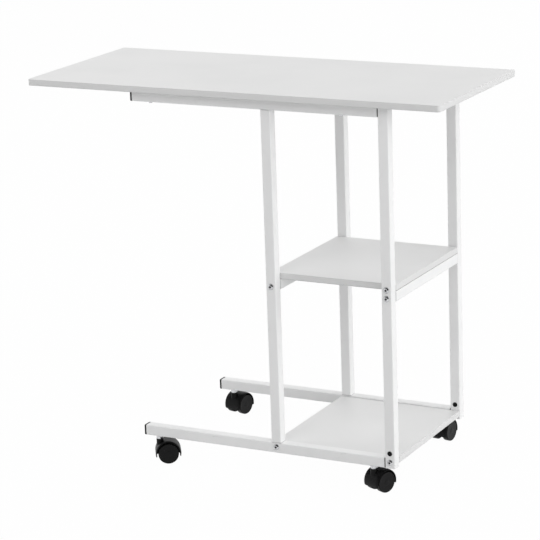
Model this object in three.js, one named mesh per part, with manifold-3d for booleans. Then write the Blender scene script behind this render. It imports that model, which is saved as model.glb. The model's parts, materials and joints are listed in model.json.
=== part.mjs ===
// Rolling C-frame side table: an overhanging tabletop and two shelves on a square-tube
// frame that stands on four swivelling twin-wheel casters.
// Millimetres, +Z up, +X towards the shelf end, +Y towards the rear.
// Pieces are drawn about the middle of the frame's depth, with the floor at zero.
import * as THREE from 'three';
import { mergeVertices } from 'three/addons/utils/BufferGeometryUtils.js';
import Module from 'manifold-3d';

const wasm = await Module();
wasm.setup();

// Boards
const TABLE_LENGTH = 850;
const TABLE_DEPTH = 360;
const TABLE_HEIGHT = 745;
const BOARD_THICKNESS = 12;
const TABLE_CORNER_RADIUS = 6;
const SHELF_CORNER_RADIUS = 1.5;
const BOARD_ARRIS = 0.6;
const MIDDLE_SHELF_HEIGHT = 402;
const BOTTOM_SHELF_DROP = 2;
const SHELF_SIDE_GAP = 2;

// Square-tube frame
const TUBE_SIDE = 20;
const TUBE_WALL = 1.2;
const TUBE_CORNER_RADIUS = 2;
const FRAME_WIDTH = 255;
const FRAME_SIDE_OVERHANG = 16.5;
const FRAME_RIGHT_INSET = 107;
const TOP_RAIL_LEFT_INSET = 215;
const BASE_RAIL_LEFT_INSET = 211;
const RAIL_END_PLATE = 3;

// Rail end caps and hole plugs
const LEFT_CAP_FLANGE = 3;
const RIGHT_CAP_FLANGE = 1.1;
const CAP_PLUG_LENGTH = 9;
const CAP_PLUG_WALL = 1.6;
const PLUG_HEAD_RADIUS = 4.8;
const PLUG_HEAD_HEIGHT = 1.1;
const PLUG_HOLE_RADIUS = 3.6;
const PLUG_PEG_LENGTH = 4;
const PLUG_GAP = 6.4;

// Frame bolts and tabletop screws
const BOLT_RADIUS = 3;
const BOLT_HEAD_RADIUS = 6;
const BOLT_HEAD_HEIGHT = 3.3;
const BOLT_SOCKET_RADIUS = 2.3;
const BOLT_SOCKET_DEPTH = 1.9;
const BOLT_BOARD_REACH = 18;
const BOLT_PLATE_OVERRUN = 3;
const SCREW_RADIUS = 2;
const SCREW_HEAD_RADIUS = 4.6;
const SCREW_HEAD_HEIGHT = 3;
const SCREW_SOCKET_RADIUS = 2;
const SCREW_SOCKET_DEPTH = 1.6;
const SCREW_COVER = 3.6;
const SCREW_LEFT_INSET = 38;
const SCREW_RIGHT_INSET = 76;

// Casters
const WHEEL_RADIUS = 20;
const WHEEL_WIDTH = 11.6;
const WHEEL_RIM = 3.4;
const WHEEL_FACE = 3.6;
const WHEEL_EDGE_ROUND = 1.8;
const HUB_RADIUS = 6;
const AXLE_RADIUS = 2.5;
const CASTER_TRAIL = 15;
const CASTER_INSET = 27.5;
const HOOD_GAP = 2.5;
const HOOD_THICKNESS = 2.5;
const HOOD_LEG_DROP = 7.2;
const HOOD_SETBACK = 0.2;
const HOOD_EDGE = 2.1;
const BOSS_RADIUS = 6.8;
const WEB_SIDE_STEP = 0.8;
const STEM_RADIUS = 4;
const STEM_SOCKET_DEPTH = 14;
const STEM_HEADROOM = 6;
const COLLAR_HEIGHT = 5.6;
const COLLAR_RADIUS = 7.5;
const NECK_RADIUS = 5.5;
const NECK_HEIGHT = 1.6;
const BOSS_RISE = 1.8;

// Resting turn of each caster about its stem, in degrees from +X
const FRONT_LEFT_TURN = 32;
const REAR_LEFT_TURN = 77;
const FRONT_RIGHT_TURN = 67;
const REAR_RIGHT_TURN = 84;

// Clearances
const SEAT = 0.2;
const BOLT_CLEARANCE = 0.3;
const PLUG_CLEARANCE = 0.2;
const RUNNING_CLEARANCE = 0.25;
const WHEEL_SIDE_CLEARANCE = 0.7;

// Facets on round work
const WHEEL_FACETS = 24;
const BOLT_FACETS = 9;
const HOLE_FACETS = 8;
const CORNER_FACETS = 2;

// Levels and faces that follow from the sizes above
const HALF_DEPTH = TABLE_DEPTH / 2 - FRAME_SIDE_OVERHANG;
const FRAME_RIGHT = TABLE_LENGTH / 2 - FRAME_RIGHT_INSET;
const FRAME_LEFT = FRAME_RIGHT - FRAME_WIDTH;
const INNER_FACE = HALF_DEPTH - TUBE_SIDE;
const TUBE_MIDDLE = HALF_DEPTH - TUBE_SIDE / 2;
const TABLE_UNDERSIDE = TABLE_HEIGHT - BOARD_THICKNESS;
const TOP_RAIL_TOP = TABLE_UNDERSIDE - SEAT;
const TOP_RAIL_BOTTOM = TOP_RAIL_TOP - TUBE_SIDE;
const HOOD_INNER_RADIUS = WHEEL_RADIUS + HOOD_GAP;
const HOOD_OUTER_RADIUS = HOOD_INNER_RADIUS + HOOD_THICKNESS;
const BOSS_TOP = WHEEL_RADIUS + HOOD_OUTER_RADIUS + BOSS_RISE;
const NECK_BOTTOM = BOSS_TOP + RUNNING_CLEARANCE;
const COLLAR_BOTTOM = NECK_BOTTOM + NECK_HEIGHT;
const COLLAR_TOP = COLLAR_BOTTOM + COLLAR_HEIGHT;
const BASE_RAIL_BOTTOM = COLLAR_TOP + SEAT;
const BASE_RAIL_TOP = BASE_RAIL_BOTTOM + TUBE_SIDE;
const BOTTOM_SHELF_TOP = BASE_RAIL_TOP - BOTTOM_SHELF_DROP;
const BOTTOM_SHELF_MIDDLE = BOTTOM_SHELF_TOP - BOARD_THICKNESS / 2;
const MIDDLE_SHELF_BOTTOM = MIDDLE_SHELF_HEIGHT - BOARD_THICKNESS;
const MIDDLE_SHELF_MIDDLE = MIDDLE_SHELF_BOTTOM + BOARD_THICKNESS / 2;
const SHELF_RAIL_TOP = MIDDLE_SHELF_BOTTOM - SEAT;
const SHELF_RAIL_BOTTOM = SHELF_RAIL_TOP - TUBE_SIDE;
const SHELF_RAIL_MIDDLE = SHELF_RAIL_BOTTOM + TUBE_SIDE / 2;
const PLUG_HEIGHT = BOTTOM_SHELF_MIDDLE + BOLT_HEAD_RADIUS + PLUG_GAP + PLUG_HEAD_RADIUS;
const SHELF_HALF_DEPTH = INNER_FACE - SHELF_SIDE_GAP;
const TOP_RAIL_LEFT = TOP_RAIL_LEFT_INSET - TABLE_LENGTH / 2;
const BASE_RAIL_LEFT = BASE_RAIL_LEFT_INSET - TABLE_LENGTH / 2;
const RAIL_RIGHT = FRAME_RIGHT - TUBE_SIDE - SEAT;
const LEFT_POST_X = FRAME_LEFT + TUBE_SIDE / 2;
const RIGHT_POST_X = FRAME_RIGHT - TUBE_SIDE / 2;
const LEFT_CASTER_X = BASE_RAIL_LEFT + CASTER_INSET;
const RIGHT_CASTER_X = RAIL_RIGHT - CASTER_INSET;
const LEFT_SCREW_X = TOP_RAIL_LEFT + SCREW_LEFT_INSET;
const RIGHT_SCREW_X = RAIL_RIGHT - SCREW_RIGHT_INSET;
const BOLT_HOLE_RADIUS = BOLT_RADIUS + BOLT_CLEARANCE;
const SCREW_HOLE_RADIUS = SCREW_RADIUS + BOLT_CLEARANCE;
const WHEEL_INNER_FACE = BOSS_RADIUS + WHEEL_SIDE_CLEARANCE;
const WHEEL_OUTER_FACE = WHEEL_INNER_FACE + WHEEL_WIDTH;
const WHEEL_BORE_END = WHEEL_OUTER_FACE - WHEEL_FACE / 2;
const HOOD_HALF_WIDTH = WHEEL_OUTER_FACE - HOOD_SETBACK;
const WEB_HALF_WIDTH = BOSS_RADIUS - WEB_SIDE_STEP;
const FRONT = -1;
const REAR = 1;

// Finishes
const finish = (color, roughness, metalness) => {
  return new THREE.MeshStandardMaterial({ color, roughness, metalness });
};
const WHITE_BOARD = finish(0xf0f0ef, 0.5, 0);
const WHITE_STEEL = finish(0xf3f4f4, 0.38, 0.05);
const BLACK_PLASTIC = finish(0x161617, 0.5, 0);
const BLACK_WHEEL = finish(0x1d1d1e, 0.55, 0);
const ZINC = finish(0xb9bcc0, 0.32, 0.9);

const table = new THREE.Group();
table.name = 'rolling_side_table';

function addPart(name, geometry, material) {
  geometry.computeVertexNormals();
  const mesh = new THREE.Mesh(geometry, material);
  mesh.name = name;
  table.add(mesh);
}

// Solid helpers

function signedVolume(position, index) {
  const a = new THREE.Vector3();
  const b = new THREE.Vector3();
  const c = new THREE.Vector3();
  let volume = 0;
  for (let i = 0; i < index.length; i += 3) {
    a.fromBufferAttribute(position, index[i]);
    b.fromBufferAttribute(position, index[i + 1]);
    c.fromBufferAttribute(position, index[i + 2]);
    volume += a.dot(b.cross(c)) / 6;
  }
  return volume;
}

function toSolid(geometry) {
  const bare = new THREE.BufferGeometry();
  bare.setAttribute('position', geometry.getAttribute('position').clone());
  if (geometry.index) {
    bare.setIndex(geometry.index.clone());
  }
  const welded = mergeVertices(bare, 1e-4);
  const corners = [];
  const all = welded.index.array;
  for (let i = 0; i < all.length; i += 3) {
    const [a, b, c] = [all[i], all[i + 1], all[i + 2]];
    if (a !== b && b !== c && c !== a) {
      corners.push(a, b, c);
    }
  }
  const position = welded.getAttribute('position');
  if (signedVolume(position, corners) < 0) {
    for (let i = 0; i < corners.length; i += 3) {
      [corners[i], corners[i + 1]] = [corners[i + 1], corners[i]];
    }
  }
  const mesh = new wasm.Mesh({
    numProp: 3,
    vertProperties: Float32Array.from(position.array),
    triVerts: Uint32Array.from(corners),
  });
  return new wasm.Manifold(mesh);
}

function toGeometry(solid) {
  const mesh = solid.getMesh();
  const geometry = new THREE.BufferGeometry();
  geometry.setAttribute('position', new THREE.BufferAttribute(Float32Array.from(mesh.vertProperties), 3));
  geometry.setIndex(new THREE.BufferAttribute(Uint32Array.from(mesh.triVerts), 1));
  return geometry;
}

// Turns work that was drawn along +Z so that it runs along the named axis.
function layAlong(geometry, axis) {
  if (axis === 'x') {
    geometry.rotateY(Math.PI / 2);
  }
  if (axis === 'y') {
    geometry.rotateX(-Math.PI / 2);
  }
  return geometry;
}

function roundedRectangle(width, height, radius) {
  const right = width / 2;
  const top = height / 2;
  const shape = new THREE.Shape();
  shape.moveTo(radius - right, -top);
  shape.lineTo(right - radius, -top);
  shape.absarc(right - radius, radius - top, radius, -Math.PI / 2, 0, false);
  shape.lineTo(right, top - radius);
  shape.absarc(right - radius, top - radius, radius, 0, Math.PI / 2, false);
  shape.lineTo(radius - right, top);
  shape.absarc(radius - right, top - radius, radius, Math.PI / 2, Math.PI, false);
  shape.lineTo(-right, radius - top);
  shape.absarc(radius - right, radius - top, radius, Math.PI, Math.PI * 1.5, false);
  return shape;
}

// A straight bar with rounded corners, from start to end along an axis through the given centre.
function roundedBar(side, radius, axis, start, end, centre, facets = CORNER_FACETS) {
  const shape = roundedRectangle(side, side, radius);
  const settings = { depth: end - start, bevelEnabled: false, curveSegments: facets };
  const bar = new THREE.ExtrudeGeometry(shape, settings);
  bar.translate(0, 0, start);
  layAlong(bar, axis);
  bar.translate(centre[0], centre[1], centre[2]);
  return toSolid(bar);
}

// A round rod, from start to end along an axis through the given centre.
function rod(radius, axis, start, end, centre, facets = HOLE_FACETS) {
  const bar = new THREE.CylinderGeometry(radius, radius, end - start, facets);
  bar.rotateX(Math.PI / 2);
  bar.translate(0, 0, (start + end) / 2);
  layAlong(bar, axis);
  bar.translate(centre[0], centre[1], centre[2]);
  return toSolid(bar);
}

// A cutter for a round hole, wide enough for its flats to lie on the given radius.
function hole(radius, axis, start, end, centre) {
  return rod(radius / Math.cos(Math.PI / HOLE_FACETS), axis, start, end, centre);
}

// A turned piece on the +Z axis from [radius, height] stations.
function turned(stations, facets) {
  const profile = stations.map(([radius, height]) => new THREE.Vector2(radius, height));
  const piece = new THREE.LatheGeometry(profile, facets);
  piece.rotateX(Math.PI / 2);
  return piece;
}

function cutAll(solid, cutters) {
  return cutters.reduce((left, cutter) => left.subtract(cutter), solid);
}

// A hollow square tube with open ends.
function squareTube(axis, start, end, centre) {
  const inside = TUBE_SIDE - 2 * TUBE_WALL;
  const innerRadius = Math.max(TUBE_CORNER_RADIUS - TUBE_WALL, 0.3);
  const skin = roundedBar(TUBE_SIDE, TUBE_CORNER_RADIUS, axis, start, end, centre);
  const bore = roundedBar(inside, innerRadius, axis, start - 1, end + 1, centre);
  return skin.subtract(bore);
}

// A cross hole through both walls of a tube, front to back.
function crossHole(radius, side, x, z) {
  return hole(radius, 'y', -TUBE_SIDE, TUBE_SIDE, [x, side * TUBE_MIDDLE, z]);
}

// A flat board with softened edges.
function board(width, depth, cornerRadius, x, top) {
  const inset = BOARD_ARRIS;
  const shape = roundedRectangle(width, depth, cornerRadius);
  const settings = {
    depth: BOARD_THICKNESS - 2 * inset,
    bevelEnabled: true,
    bevelSize: inset,
    bevelThickness: inset,
    bevelOffset: -inset,
    bevelSegments: 1,
    curveSegments: 4,
  };
  const slab = new THREE.ExtrudeGeometry(shape, settings);
  slab.translate(x, 0, top - BOARD_THICKNESS + inset);
  return toSolid(slab);
}

// Tabletop, with a blind hole over each screw
const screwReach = BOARD_THICKNESS - SCREW_COVER;
const screwPlaces = [];
for (const side of [FRONT, REAR]) {
  screwPlaces.push([side, LEFT_SCREW_X], [side, RIGHT_SCREW_X]);
}
const tabletopHoles = screwPlaces.map(([side, x]) => {
  const depth = screwReach + BOLT_CLEARANCE;
  return hole(SCREW_HOLE_RADIUS, 'z', -1, depth, [x, side * TUBE_MIDDLE, TABLE_UNDERSIDE]);
});
const tabletop = board(TABLE_LENGTH, TABLE_DEPTH, TABLE_CORNER_RADIUS, 0, TABLE_HEIGHT);
addPart('tabletop', toGeometry(cutAll(tabletop, tabletopHoles)), WHITE_BOARD);

// Shelves, with blind bolt holes in their front and rear edges
const shelfMiddleX = (FRAME_LEFT + FRAME_RIGHT) / 2;

function shelf(top, boltXs) {
  const slab = board(FRAME_WIDTH, SHELF_HALF_DEPTH * 2, SHELF_CORNER_RADIUS, shelfMiddleX, top);
  const middle = top - BOARD_THICKNESS / 2;
  const depth = BOLT_BOARD_REACH + 2 * BOLT_CLEARANCE;
  const holes = [];
  for (const x of boltXs) {
    holes.push(hole(BOLT_HOLE_RADIUS, 'y', -1, depth, [x, -SHELF_HALF_DEPTH, middle]));
    holes.push(hole(BOLT_HOLE_RADIUS, 'y', -depth, 1, [x, SHELF_HALF_DEPTH, middle]));
  }
  return toGeometry(cutAll(slab, holes));
}

addPart('middle_shelf', shelf(MIDDLE_SHELF_HEIGHT, [RIGHT_POST_X]), WHITE_BOARD);
addPart('bottom_shelf', shelf(BOTTOM_SHELF_TOP, [LEFT_POST_X, RIGHT_POST_X]), WHITE_BOARD);

// Posts, top rails and base rails on the front and rear of the frame
const sides = [['front', FRONT], ['rear', REAR]];

for (const [label, side] of sides) {
  const y = side * TUBE_MIDDLE;

  const leftPost = squareTube('z', BASE_RAIL_TOP + SEAT, TOP_RAIL_BOTTOM - SEAT, [LEFT_POST_X, y, 0]);
  const leftHole = crossHole(BOLT_HOLE_RADIUS, side, LEFT_POST_X, SHELF_RAIL_MIDDLE);
  addPart(`${label}_left_post`, toGeometry(leftPost.subtract(leftHole)), WHITE_STEEL);

  const rightPost = squareTube('z', BASE_RAIL_BOTTOM, TABLE_UNDERSIDE - SEAT, [RIGHT_POST_X, y, 0]);
  const rightHoles = [
    crossHole(BOLT_HOLE_RADIUS, side, RIGHT_POST_X, SHELF_RAIL_MIDDLE),
    crossHole(BOLT_HOLE_RADIUS, side, RIGHT_POST_X, MIDDLE_SHELF_MIDDLE),
    crossHole(BOLT_HOLE_RADIUS, side, RIGHT_POST_X, BOTTOM_SHELF_MIDDLE),
    crossHole(PLUG_HOLE_RADIUS, side, RIGHT_POST_X, PLUG_HEIGHT),
  ];
  addPart(`${label}_right_post`, toGeometry(cutAll(rightPost, rightHoles)), WHITE_STEEL);

  const topStart = TOP_RAIL_LEFT + LEFT_CAP_FLANGE + SEAT;
  const baseStart = BASE_RAIL_LEFT + LEFT_CAP_FLANGE + SEAT;
  const railEnd = RAIL_RIGHT - RIGHT_CAP_FLANGE - SEAT;
  const topMiddle = TOP_RAIL_BOTTOM + TUBE_SIDE / 2;
  const baseMiddle = BASE_RAIL_BOTTOM + TUBE_SIDE / 2;

  const topRail = squareTube('x', topStart, railEnd, [0, y, topMiddle]);
  const topHoles = [LEFT_SCREW_X, RIGHT_SCREW_X].map((x) => {
    return hole(SCREW_HOLE_RADIUS, 'z', -TUBE_SIDE, TUBE_SIDE, [x, y, topMiddle]);
  });
  addPart(`${label}_top_rail`, toGeometry(cutAll(topRail, topHoles)), WHITE_STEEL);

  const baseRail = squareTube('x', baseStart, railEnd, [0, y, baseMiddle]);
  const baseHoles = [LEFT_CASTER_X, RIGHT_CASTER_X].map((x) => {
    return hole(STEM_RADIUS + BOLT_CLEARANCE, 'z', -TUBE_WALL, 2 * TUBE_WALL, [x, y, BASE_RAIL_BOTTOM]);
  });
  baseHoles.push(crossHole(BOLT_HOLE_RADIUS, side, LEFT_POST_X, BOTTOM_SHELF_MIDDLE));
  addPart(`${label}_base_rail`, toGeometry(cutAll(baseRail, baseHoles)), WHITE_STEEL);
}

// Shelf rails across the frame, closed by drilled end plates
for (const [label, x] of [['left', LEFT_POST_X], ['right', RIGHT_POST_X]]) {
  const reach = INNER_FACE - SEAT;
  const inside = TUBE_SIDE - 2 * TUBE_WALL;
  const innerRadius = Math.max(TUBE_CORNER_RADIUS - TUBE_WALL, 0.3);
  const centre = [x, 0, SHELF_RAIL_MIDDLE];
  const skin = roundedBar(TUBE_SIDE, TUBE_CORNER_RADIUS, 'y', -reach, reach, centre);
  const bore = roundedBar(inside, innerRadius, 'y', RAIL_END_PLATE - reach, reach - RAIL_END_PLATE, centre);
  const boltHole = hole(BOLT_HOLE_RADIUS, 'y', -HALF_DEPTH, HALF_DEPTH, centre);
  addPart(`${label}_shelf_rail`, toGeometry(cutAll(skin, [bore, boltHole])), WHITE_STEEL);
}

// Rail end caps: a flange outside the tube and a hollow plug inside it
function endCap(flangeStart, flangeEnd, inward, y, z) {
  const plugSide = TUBE_SIDE - 2 * (TUBE_WALL + PLUG_CLEARANCE);
  const plugRadius = Math.max(TUBE_CORNER_RADIUS - TUBE_WALL, 0.3);
  const hollowRadius = plugRadius / 2;
  const seat = inward > 0 ? flangeEnd : flangeStart;
  const tip = seat + inward * CAP_PLUG_LENGTH;
  const hollowStart = seat + inward * SEAT;
  const plugSpan = [seat - inward * SEAT, tip].sort((a, b) => a - b);
  const hollowSpan = [hollowStart, tip + inward].sort((a, b) => a - b);
  const hollowSide = plugSide - 2 * CAP_PLUG_WALL;
  const flange = roundedBar(TUBE_SIDE, TUBE_CORNER_RADIUS, 'x', flangeStart, flangeEnd, [0, y, z]);
  const plug = roundedBar(plugSide, plugRadius, 'x', plugSpan[0], plugSpan[1], [0, y, z], 1);
  const hollow = roundedBar(hollowSide, hollowRadius, 'x', hollowSpan[0], hollowSpan[1], [0, y, z], 1);
  return toGeometry(flange.add(plug).subtract(hollow));
}

for (const [label, side] of sides) {
  const y = side * TUBE_MIDDLE;
  const rails = [
    ['top', TOP_RAIL_LEFT, TOP_RAIL_BOTTOM + TUBE_SIDE / 2],
    ['base', BASE_RAIL_LEFT, BASE_RAIL_BOTTOM + TUBE_SIDE / 2],
  ];
  for (const [level, left, z] of rails) {
    const leftCap = endCap(left, left + LEFT_CAP_FLANGE, 1, y, z);
    const rightCap = endCap(RAIL_RIGHT - RIGHT_CAP_FLANGE, RAIL_RIGHT, -1, y, z);
    addPart(`${label}_${level}_rail_left_cap`, leftCap, BLACK_PLASTIC);
    addPart(`${label}_${level}_rail_right_cap`, rightCap, BLACK_PLASTIC);
  }
}

// Hole plugs on the outer and inner faces of the right posts
const plugStations = [
  [0, PLUG_HEAD_HEIGHT],
  [PLUG_HEAD_RADIUS * 0.6, PLUG_HEAD_HEIGHT * 0.9],
  [PLUG_HEAD_RADIUS, PLUG_HEAD_HEIGHT * 0.35],
  [PLUG_HEAD_RADIUS, SEAT],
  [PLUG_HOLE_RADIUS - PLUG_CLEARANCE, SEAT],
  [PLUG_HOLE_RADIUS - PLUG_CLEARANCE, -PLUG_PEG_LENGTH],
  [0, -PLUG_PEG_LENGTH],
];

// Turns a +Z piece to face the front or the rear and puts it on a face of the frame.
function facing(geometry, direction, x, y, z) {
  geometry.rotateX(direction === FRONT ? Math.PI / 2 : -Math.PI / 2);
  geometry.translate(x, y, z);
  return geometry;
}

for (const [label, side] of sides) {
  const outer = facing(turned(plugStations, BOLT_FACETS), side, RIGHT_POST_X, side * HALF_DEPTH, PLUG_HEIGHT);
  const inner = facing(turned(plugStations, BOLT_FACETS), -side, RIGHT_POST_X, side * INNER_FACE, PLUG_HEIGHT);
  addPart(`${label}_right_post_outer_plug`, toGeometry(toSolid(outer)), BLACK_PLASTIC);
  addPart(`${label}_right_post_inner_plug`, toGeometry(toSolid(inner)), BLACK_PLASTIC);
}

// Socket-head bolts and tabletop screws share one domed form
const boltSizes = [BOLT_RADIUS, BOLT_HEAD_RADIUS, BOLT_HEAD_HEIGHT, BOLT_SOCKET_RADIUS, BOLT_SOCKET_DEPTH];
const screwSizes = [SCREW_RADIUS, SCREW_HEAD_RADIUS, SCREW_HEAD_HEIGHT, SCREW_SOCKET_RADIUS, SCREW_SOCKET_DEPTH];

function domedFastener(radius, headRadius, headHeight, socketRadius, socketDepth, length) {
  const stations = [
    [0, headHeight + SEAT],
    [headRadius * 0.55, headHeight * 0.92 + SEAT],
    [headRadius * 0.9, headHeight * 0.5 + SEAT],
    [headRadius, SEAT],
    [radius, SEAT],
    [radius, -length],
    [0, -length],
  ];
  const body = toSolid(turned(stations, BOLT_FACETS));
  const socketTop = headHeight + SEAT + 1;
  const socketBottom = headHeight + SEAT - socketDepth;
  return toGeometry(body.subtract(rod(socketRadius, 'z', socketBottom, socketTop, [0, 0, 0], 6)));
}

const plateBoltLength = TUBE_SIDE + SEAT + RAIL_END_PLATE + BOLT_PLATE_OVERRUN;
const boardBoltLength = TUBE_SIDE + SHELF_SIDE_GAP + BOLT_BOARD_REACH;

for (const [label, side] of sides) {
  const bolts = [
    ['left_shelf_rail_bolt', plateBoltLength, LEFT_POST_X, SHELF_RAIL_MIDDLE],
    ['right_shelf_rail_bolt', plateBoltLength, RIGHT_POST_X, SHELF_RAIL_MIDDLE],
    ['middle_shelf_bolt', boardBoltLength, RIGHT_POST_X, MIDDLE_SHELF_MIDDLE],
    ['left_bottom_shelf_bolt', boardBoltLength, LEFT_POST_X, BOTTOM_SHELF_MIDDLE],
    ['right_bottom_shelf_bolt', boardBoltLength, RIGHT_POST_X, BOTTOM_SHELF_MIDDLE],
  ];
  for (const [name, length, x, z] of bolts) {
    const bolt = domedFastener(...boltSizes, length);
    addPart(`${label}_${name}`, facing(bolt, side, x, side * HALF_DEPTH, z), ZINC);
  }
  for (const [place, x] of [['left', LEFT_SCREW_X], ['right', RIGHT_SCREW_X]]) {
    const length = TABLE_UNDERSIDE - TOP_RAIL_BOTTOM + screwReach;
    const screw = domedFastener(...screwSizes, length);
    screw.rotateX(Math.PI);
    screw.translate(x, side * TUBE_MIDDLE, TOP_RAIL_BOTTOM);
    addPart(`${label}_${place}_tabletop_screw`, screw, ZINC);
  }
}

// Casters are drawn about their stem axis, trailing along +X, with the floor at zero

// Side outline of the hood about the wheel centre: a round arch cut off level at the leg tips.
function hoodOutline() {
  const tipAngle = Math.asin(HOOD_LEG_DROP / HOOD_OUTER_RADIUS);
  const outline = new THREE.Shape();
  outline.absarc(0, 0, HOOD_OUTER_RADIUS, -tipAngle, Math.PI + tipAngle, false);
  outline.closePath();
  return outline;
}

// Side outline of the web that carries the axle between the wheels.
function webOutline() {
  const reach = HOOD_INNER_RADIUS + HOOD_THICKNESS / 2;
  const dip = -HUB_RADIUS;
  const startAngle = Math.asin(dip / reach);
  const outline = new THREE.Shape();
  outline.absarc(0, 0, reach, startAngle, Math.PI - startAngle, false);
  outline.closePath();
  return outline;
}

// Stands an outline drawn in the XZ plane on edge and spreads it evenly about y = 0.
function uprightSlab(outline, halfWidth, edge, facets) {
  const settings = {
    depth: 2 * (halfWidth - edge),
    bevelEnabled: edge > 0,
    bevelSize: edge,
    bevelThickness: edge,
    bevelOffset: -edge,
    bevelSegments: 1,
    curveSegments: facets,
  };
  const slab = new THREE.ExtrudeGeometry(outline, settings);
  slab.translate(0, 0, edge - halfWidth);
  slab.rotateX(Math.PI / 2);
  slab.translate(CASTER_TRAIL, 0, WHEEL_RADIUS);
  return toSolid(slab);
}

function casterBody() {
  const axleCentre = [CASTER_TRAIL, 0, WHEEL_RADIUS];
  const bossBottom = WHEEL_RADIUS + HUB_RADIUS;
  const socketEnd = BOSS_TOP - STEM_SOCKET_DEPTH;
  const hubReach = WHEEL_INNER_FACE - RUNNING_CLEARANCE;
  const shell = uprightSlab(hoodOutline(), HOOD_HALF_WIDTH, HOOD_EDGE, 9);
  const wheelhouse = rod(HOOD_INNER_RADIUS, 'y', -2 * HOOD_HALF_WIDTH, 2 * HOOD_HALF_WIDTH, axleCentre, 32);
  const web = uprightSlab(webOutline(), WEB_HALF_WIDTH, 0, 9);
  const boss = rod(BOSS_RADIUS, 'z', bossBottom, BOSS_TOP, [0, 0, 0], 20);
  const hub = rod(HUB_RADIUS, 'y', -hubReach, hubReach, axleCentre, 16);
  const stemHole = hole(STEM_RADIUS + RUNNING_CLEARANCE, 'z', socketEnd, BOSS_TOP + 1, [0, 0, 0]);
  const axleHole = hole(AXLE_RADIUS + RUNNING_CLEARANCE, 'y', -hubReach - 1, hubReach + 1, axleCentre);
  const body = shell.subtract(wheelhouse).add(web).add(boss).add(hub);
  return cutAll(body, [stemHole, axleHole]);
}

// Wheel with a closed outer face, a hollow inner side and a hub with a blind bore.
function casterWheel(direction) {
  const bore = AXLE_RADIUS + RUNNING_CLEARANCE;
  const stations = [
    [0, WHEEL_OUTER_FACE],
    [WHEEL_RADIUS - WHEEL_EDGE_ROUND * 1.6, WHEEL_OUTER_FACE],
    [WHEEL_RADIUS - WHEEL_EDGE_ROUND * 0.4, WHEEL_OUTER_FACE - WHEEL_EDGE_ROUND * 0.5],
    [WHEEL_RADIUS, WHEEL_OUTER_FACE - WHEEL_EDGE_ROUND * 1.4],
    [WHEEL_RADIUS, WHEEL_INNER_FACE],
    [WHEEL_RADIUS - WHEEL_RIM, WHEEL_INNER_FACE],
    [WHEEL_RADIUS - WHEEL_RIM, WHEEL_OUTER_FACE - WHEEL_FACE],
    [HUB_RADIUS, WHEEL_OUTER_FACE - WHEEL_FACE],
    [HUB_RADIUS, WHEEL_INNER_FACE],
    [bore, WHEEL_INNER_FACE],
    [bore, WHEEL_BORE_END],
    [0, WHEEL_BORE_END],
  ];
  const wheel = facing(turned(stations, WHEEL_FACETS), direction, CASTER_TRAIL, 0, WHEEL_RADIUS);
  return toSolid(wheel);
}

function casterAxle() {
  const reach = WHEEL_BORE_END - RUNNING_CLEARANCE;
  return rod(AXLE_RADIUS, 'y', -reach, reach, [CASTER_TRAIL, 0, WHEEL_RADIUS]);
}

// Stem with a grip in the body, a neck, a hexagonal collar and an upper end that passes into the rail.
function casterStem() {
  const socketEnd = BOSS_TOP - STEM_SOCKET_DEPTH + RUNNING_CLEARANCE;
  const tip = BASE_RAIL_TOP - TUBE_WALL - STEM_HEADROOM;
  const stations = [
    [0, tip],
    [STEM_RADIUS * 0.75, tip],
    [STEM_RADIUS, tip - STEM_RADIUS * 0.3],
    [STEM_RADIUS, socketEnd + STEM_RADIUS * 0.3],
    [STEM_RADIUS * 0.75, socketEnd],
    [0, socketEnd],
  ];
  const pin = toSolid(turned(stations, HOLE_FACETS));
  const neck = rod(NECK_RADIUS, 'z', NECK_BOTTOM, COLLAR_TOP, [0, 0, 0]);
  const collar = rod(COLLAR_RADIUS, 'z', COLLAR_BOTTOM, COLLAR_TOP, [0, 0, 0], 6);
  return pin.add(neck).add(collar);
}

const casterPlaces = [
  ['front_left', LEFT_CASTER_X, FRONT, FRONT_LEFT_TURN],
  ['rear_left', LEFT_CASTER_X, REAR, REAR_LEFT_TURN],
  ['front_right', RIGHT_CASTER_X, FRONT, FRONT_RIGHT_TURN],
  ['rear_right', RIGHT_CASTER_X, REAR, REAR_RIGHT_TURN],
];

for (const [label, x, side, turn] of casterPlaces) {
  const pieces = [
    ['stem', casterStem(), ZINC, 0],
    ['body', casterBody(), BLACK_PLASTIC, turn],
    ['axle', casterAxle(), ZINC, turn],
    ['right_wheel', casterWheel(FRONT), BLACK_WHEEL, turn],
    ['left_wheel', casterWheel(REAR), BLACK_WHEEL, turn],
  ];
  for (const [name, solid, material, angle] of pieces) {
    const geometry = toGeometry(solid);
    geometry.rotateZ(THREE.MathUtils.degToRad(angle));
    geometry.translate(x, side * TUBE_MIDDLE, 0);
    addPart(`${label}_caster_${name}`, geometry, material);
  }
}

// The origin is moved to the floor under the middle of the whole table.
const reach = new THREE.Box3().setFromObject(table);
const middle = reach.getCenter(new THREE.Vector3());
for (const mesh of table.children) {
  mesh.geometry.translate(-middle.x, -middle.y, -reach.min.z);
}

export default table;
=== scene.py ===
"""Dresses the frame of a rolling side table: finishes, fasteners, caps, casters and a stage."""

import json
from functools import cached_property
from math import asin, atan2, cos, hypot, pi, radians, sin

import bmesh
import bpy
from mathutils import Matrix, Vector


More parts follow.
